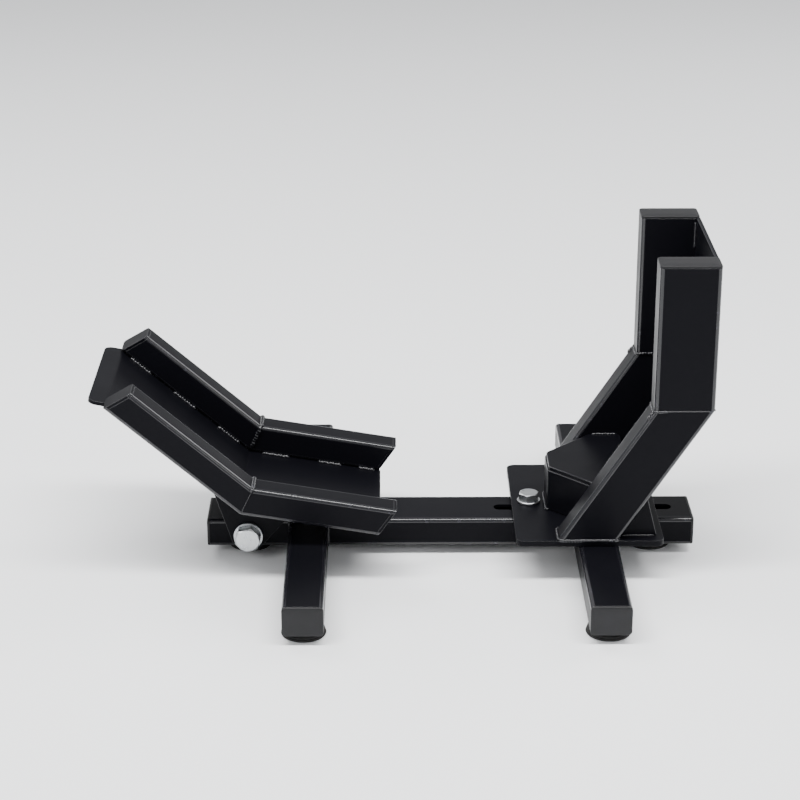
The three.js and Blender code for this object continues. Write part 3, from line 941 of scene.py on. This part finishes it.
def moulded(name, colour, roughness, grain_size, depth, patch_colour, patch_size):
    """A plastic or rubber: an even colour with paler patches and a fine moulded grain."""
    material, tree, shader, place = new_material(name)
    patches = node(
        tree,
        "ShaderNodeTexNoise",
        inputs={"Vector": place, "Scale": 1 / patch_size, "Detail": 5.0, "Roughness": 0.62},
    )
    amount = node(
        tree,
        "ShaderNodeMapRange",
        inputs={"Value": patches.outputs["Fac"], "From Min": 0.45, "From Max": 0.8},
    )
    tint = node(
        tree,
        "ShaderNodeMix",
        {"data_type": "RGBA"},
        {"Factor": amount.outputs["Result"], "A": srgb(colour), "B": srgb(patch_colour)},
    )
    dullness = node(
        tree,
        "ShaderNodeMapRange",
        inputs={
            "Value": amount.outputs["Result"],
            "To Min": roughness,
            "To Max": min(roughness + 0.12, 1.0),
        },
    )
    grain = node(
        tree,
        "ShaderNodeTexNoise",
        inputs={"Vector": place, "Scale": 1 / grain_size, "Detail": 3.0, "Roughness": 0.6},
    )
    skin = node(
        tree,
        "ShaderNodeBump",
        inputs={"Height": grain.outputs["Fac"], "Strength": 0.35, "Distance": depth},
    )
    tree.links.new(tint.outputs["Result"], shader.inputs["Base Color"])
    tree.links.new(dullness.outputs["Result"], shader.inputs["Roughness"])
    tree.links.new(skin.outputs["Normal"], shader.inputs["Normal"])
    shader.inputs["IOR"].default_value = 1.5
    shader.inputs["Specular IOR Level"].default_value = 0.3
    return material


cap_plastic = moulded("black_polyethylene", "#0e0e10", 0.46, 0.7 * mm, 0.05 * mm, "#18181b", 25 * mm)
CAP_EDGE = 1.3
CAP_PLUG = 8.0


def end_cap(cad_node, body, width, height, wall, face, across, up):
    """A cap with its plug in the tube, its outer face centred on a point and facing across x up."""
    axis = across.cross(up)
    plug_inset = wall + GAP
    # Inset and height from the plug's tip, out over the round edge, to a slightly crowned face.
    levels = [(plug_inset + 0.8, -CAP_THICKNESS - CAP_PLUG), (plug_inset, -CAP_THICKNESS - CAP_PLUG + 2)]
    levels += [(plug_inset, -CAP_THICKNESS), (0.0, -CAP_THICKNESS)]
    for i in range(6):
        a = math.radians(90 * i / 5)
        levels.append((CAP_EDGE * (1 - math.cos(a)), CAP_EDGE * (math.sin(a) - 1) - 0.5))
    levels += [(4.0, -0.22), (7.5, -0.05), (11.0, 0.0)]
    rings = []
    for inset, level in levels:
        section = rounded_rectangle(width - 2 * inset, height - 2 * inset, max(CORNER - inset, 0.9))
        rings.append([face + across * u + up * v + axis * (level * mm) for u, v in section])
    n = len(rings[0])
    verts = [point for ring in rings for point in ring]
    faces = [
        (level + i, level + (i + 1) % n, level + n + (i + 1) % n, level + n + i)
        for level in range(0, n * (len(rings) - 1), n)
        for i in range(n)
    ]
    faces += [tuple(range(n)), tuple(range(n * (len(rings) - 1), n * len(rings)))]
    piece = show(f"{cad_node}_moulded", verts, faces, (cap_plastic,), body, [cad_node])
    piece.data.set_sharp_from_angle(angle=math.radians(35))
    return piece


SPINE_WALL = 3.0
for side, sign in SIDES.items():
    face = at(upright_middle, sign * RAIL_Y, UPRIGHT_TOP)
    end_cap(f"upright_cap_{side}", "upright", TUBE, UPRIGHT_DEPTH, WALL, face, ACROSS, facing(180))
    for place in ("rear", "front"):
        name = f"arm_cap_{place}_{side}"
        low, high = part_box(name)
        face = Vector(((low.x + high.x) / 2, max(low.y, high.y, key=abs), spine_level * mm))
        end_cap(name, "base", ARM_WIDTH, SPINE_HEIGHT, WALL, face, ALONG * -sign, UP)
for place, sign in (("front", 1), ("rear", -1)):
    low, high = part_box(f"spine_cap_{place}")
    face = Vector((high.x if sign > 0 else low.x, 0, spine_level * mm))
    name = f"spine_cap_{place}"
    end_cap(name, "base", 2 * SPINE_HALF, SPINE_HEIGHT, SPINE_WALL, face, ACROSS * sign, UP)

# ---------------------------------------------------------------- rubber feet and buffer
# Six ribbed feet of black nitrile rubber are bonded under the tubes, and a block of the same
# rubber on the spine stops the rocker. Moulded rubber is dull, and takes a little pale dust.

rubber = moulded("black_nitrile_rubber", "#151515", 0.74, 0.9 * mm, 0.08 * mm, "#2c2b2a", 14 * mm)
FOOT_HEIGHT = SPINE_BOTTOM - GAP
FOOT_RADIUS = 22.0
FOOT_TOP_RADIUS = 19.0
FOOT_SIDES = 96


def foot_profile():
    """Half outline from the middle of the top, down the ribbed side and under the sole."""
    slope = (FOOT_RADIUS - FOOT_TOP_RADIUS) / (FOOT_HEIGHT - 1.5)
    points = [(0.6, FOOT_HEIGHT), (FOOT_TOP_RADIUS - 0.6, FOOT_HEIGHT)]
    points.append((FOOT_TOP_RADIUS, FOOT_HEIGHT - 0.5))
    for i in range(25):
        z = FOOT_HEIGHT - 1.2 - (FOOT_HEIGHT - 3.2) * i / 24
        groove = 0.8 * max(math.sin(3 * math.pi * i / 12 - math.pi / 2), 0.0)
        points.append((FOOT_TOP_RADIUS + slope * (FOOT_HEIGHT - z) - groove, z))
    points += [(FOOT_RADIUS - 0.1, 1.4), (FOOT_RADIUS - 0.5, 0.6), (FOOT_RADIUS - 1.4, 0.0)]
    for ring in (16.0, 11.0, 6.0):
        points += [(ring + 0.5, 0.0), (ring, 0.8), (ring - 1.2, 0.8), (ring - 1.7, 0.0)]
    return points + [(0.6, 0.0)]


profile = foot_profile()
foot_nodes = [name for name in nodes if name.startswith("foot_") and name != "foot_plate"]
for name in sorted(foot_nodes):
    low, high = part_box(name)
    centre = (low + high) / 2
    verts = []
    for i in range(FOOT_SIDES):
        a = 2 * math.pi * i / FOOT_SIDES
        verts += [
            (centre.x + r * math.cos(a) * mm, centre.y + r * math.sin(a) * mm, z * mm)
            for r, z in profile
        ]
    count = len(profile)
    faces = []
    for i in range(FOOT_SIDES):
        here = i * count
        there = (i + 1) % FOOT_SIDES * count
        faces += [(here + k, there + k, there + k + 1, here + k + 1) for k in range(count - 1)]
    faces.append(tuple(i * count for i in range(FOOT_SIDES)))
    faces.append(tuple(i * count + count - 1 for i in range(FOOT_SIDES)))
    foot = show(f"{name}_rubber", verts, faces, (rubber,), "base", [name])
    foot.data.set_sharp_from_angle(angle=math.radians(40))
cut_steel("rocker_buffer", "base", 1.6, materials=(rubber,))

# ---------------------------------------------------------------- floor, light and camera
# A plain floor of pale paper with soft boxes on every side, the brightest of them a long strip
# overhead. The camera stands out to the side of the axle and looks down on the stand's middle.

bpy.ops.mesh.primitive_plane_add(size=30)
floor = bpy.context.object
floor.name = "studio_floor"
paper, _, paper_shader, _ = new_material("pale_studio_paper")
paper_shader.inputs["Base Color"].default_value = srgb("#f1f2f3")
paper_shader.inputs["Roughness"].default_value = 0.85
floor.data.materials.append(paper)

world = bpy.data.worlds.new("studio_air")
bpy.context.scene.world = world
world.use_nodes = True
world.node_tree.nodes["Background"].inputs["Color"].default_value = srgb("#f7f8fa")
world.node_tree.nodes["Background"].inputs["Strength"].default_value = 0.75

STAND_CENTRE = Vector((0, 0, 0.16))
# Place, width and depth in metres, and power in watts.
SOFT_BOXES = {
    "overhead": ((0.0, -0.55, 2.0), (2.6, 0.35), 90),
    "front_left": ((-2.2, -1.9, 1.5), (1.2, 1.2), 30),
    "front_right": ((2.1, -1.9, 1.1), (0.5, 1.4), 18),
    "back_left": ((-1.4, 1.4, 2.1), (1.3, 1.3), 36),
    "back_right": ((2.1, 1.6, 1.6), (1.3, 1.3), 40),
}
for name, (place, size, power) in SOFT_BOXES.items():
    light = bpy.data.lights.new(f"soft_box_{name}", "AREA")
    light.shape = "RECTANGLE"
    light.size, light.size_y = size
    light.energy = power
    lamp = bpy.data.objects.new(f"soft_box_{name}", light)
    lamp.location = place
    lamp.rotation_euler = (STAND_CENTRE - Vector(place)).to_track_quat("-Z", "Y").to_euler()
    bpy.context.scene.collection.objects.link(lamp)

CAMERA_DISTANCE = 2.115
CAMERA_HEIGHT = 0.986
camera_data = bpy.data.cameras.new("camera")
camera_data.lens = 100
camera = bpy.data.objects.new("camera", camera_data)
camera.location = (AXLE_X * mm, -CAMERA_DISTANCE, CAMERA_HEIGHT)
camera.rotation_euler = (STAND_CENTRE - camera.location).to_track_quat("-Z", "Y").to_euler()
bpy.context.scene.collection.objects.link(camera)
bpy.context.scene.camera = camera
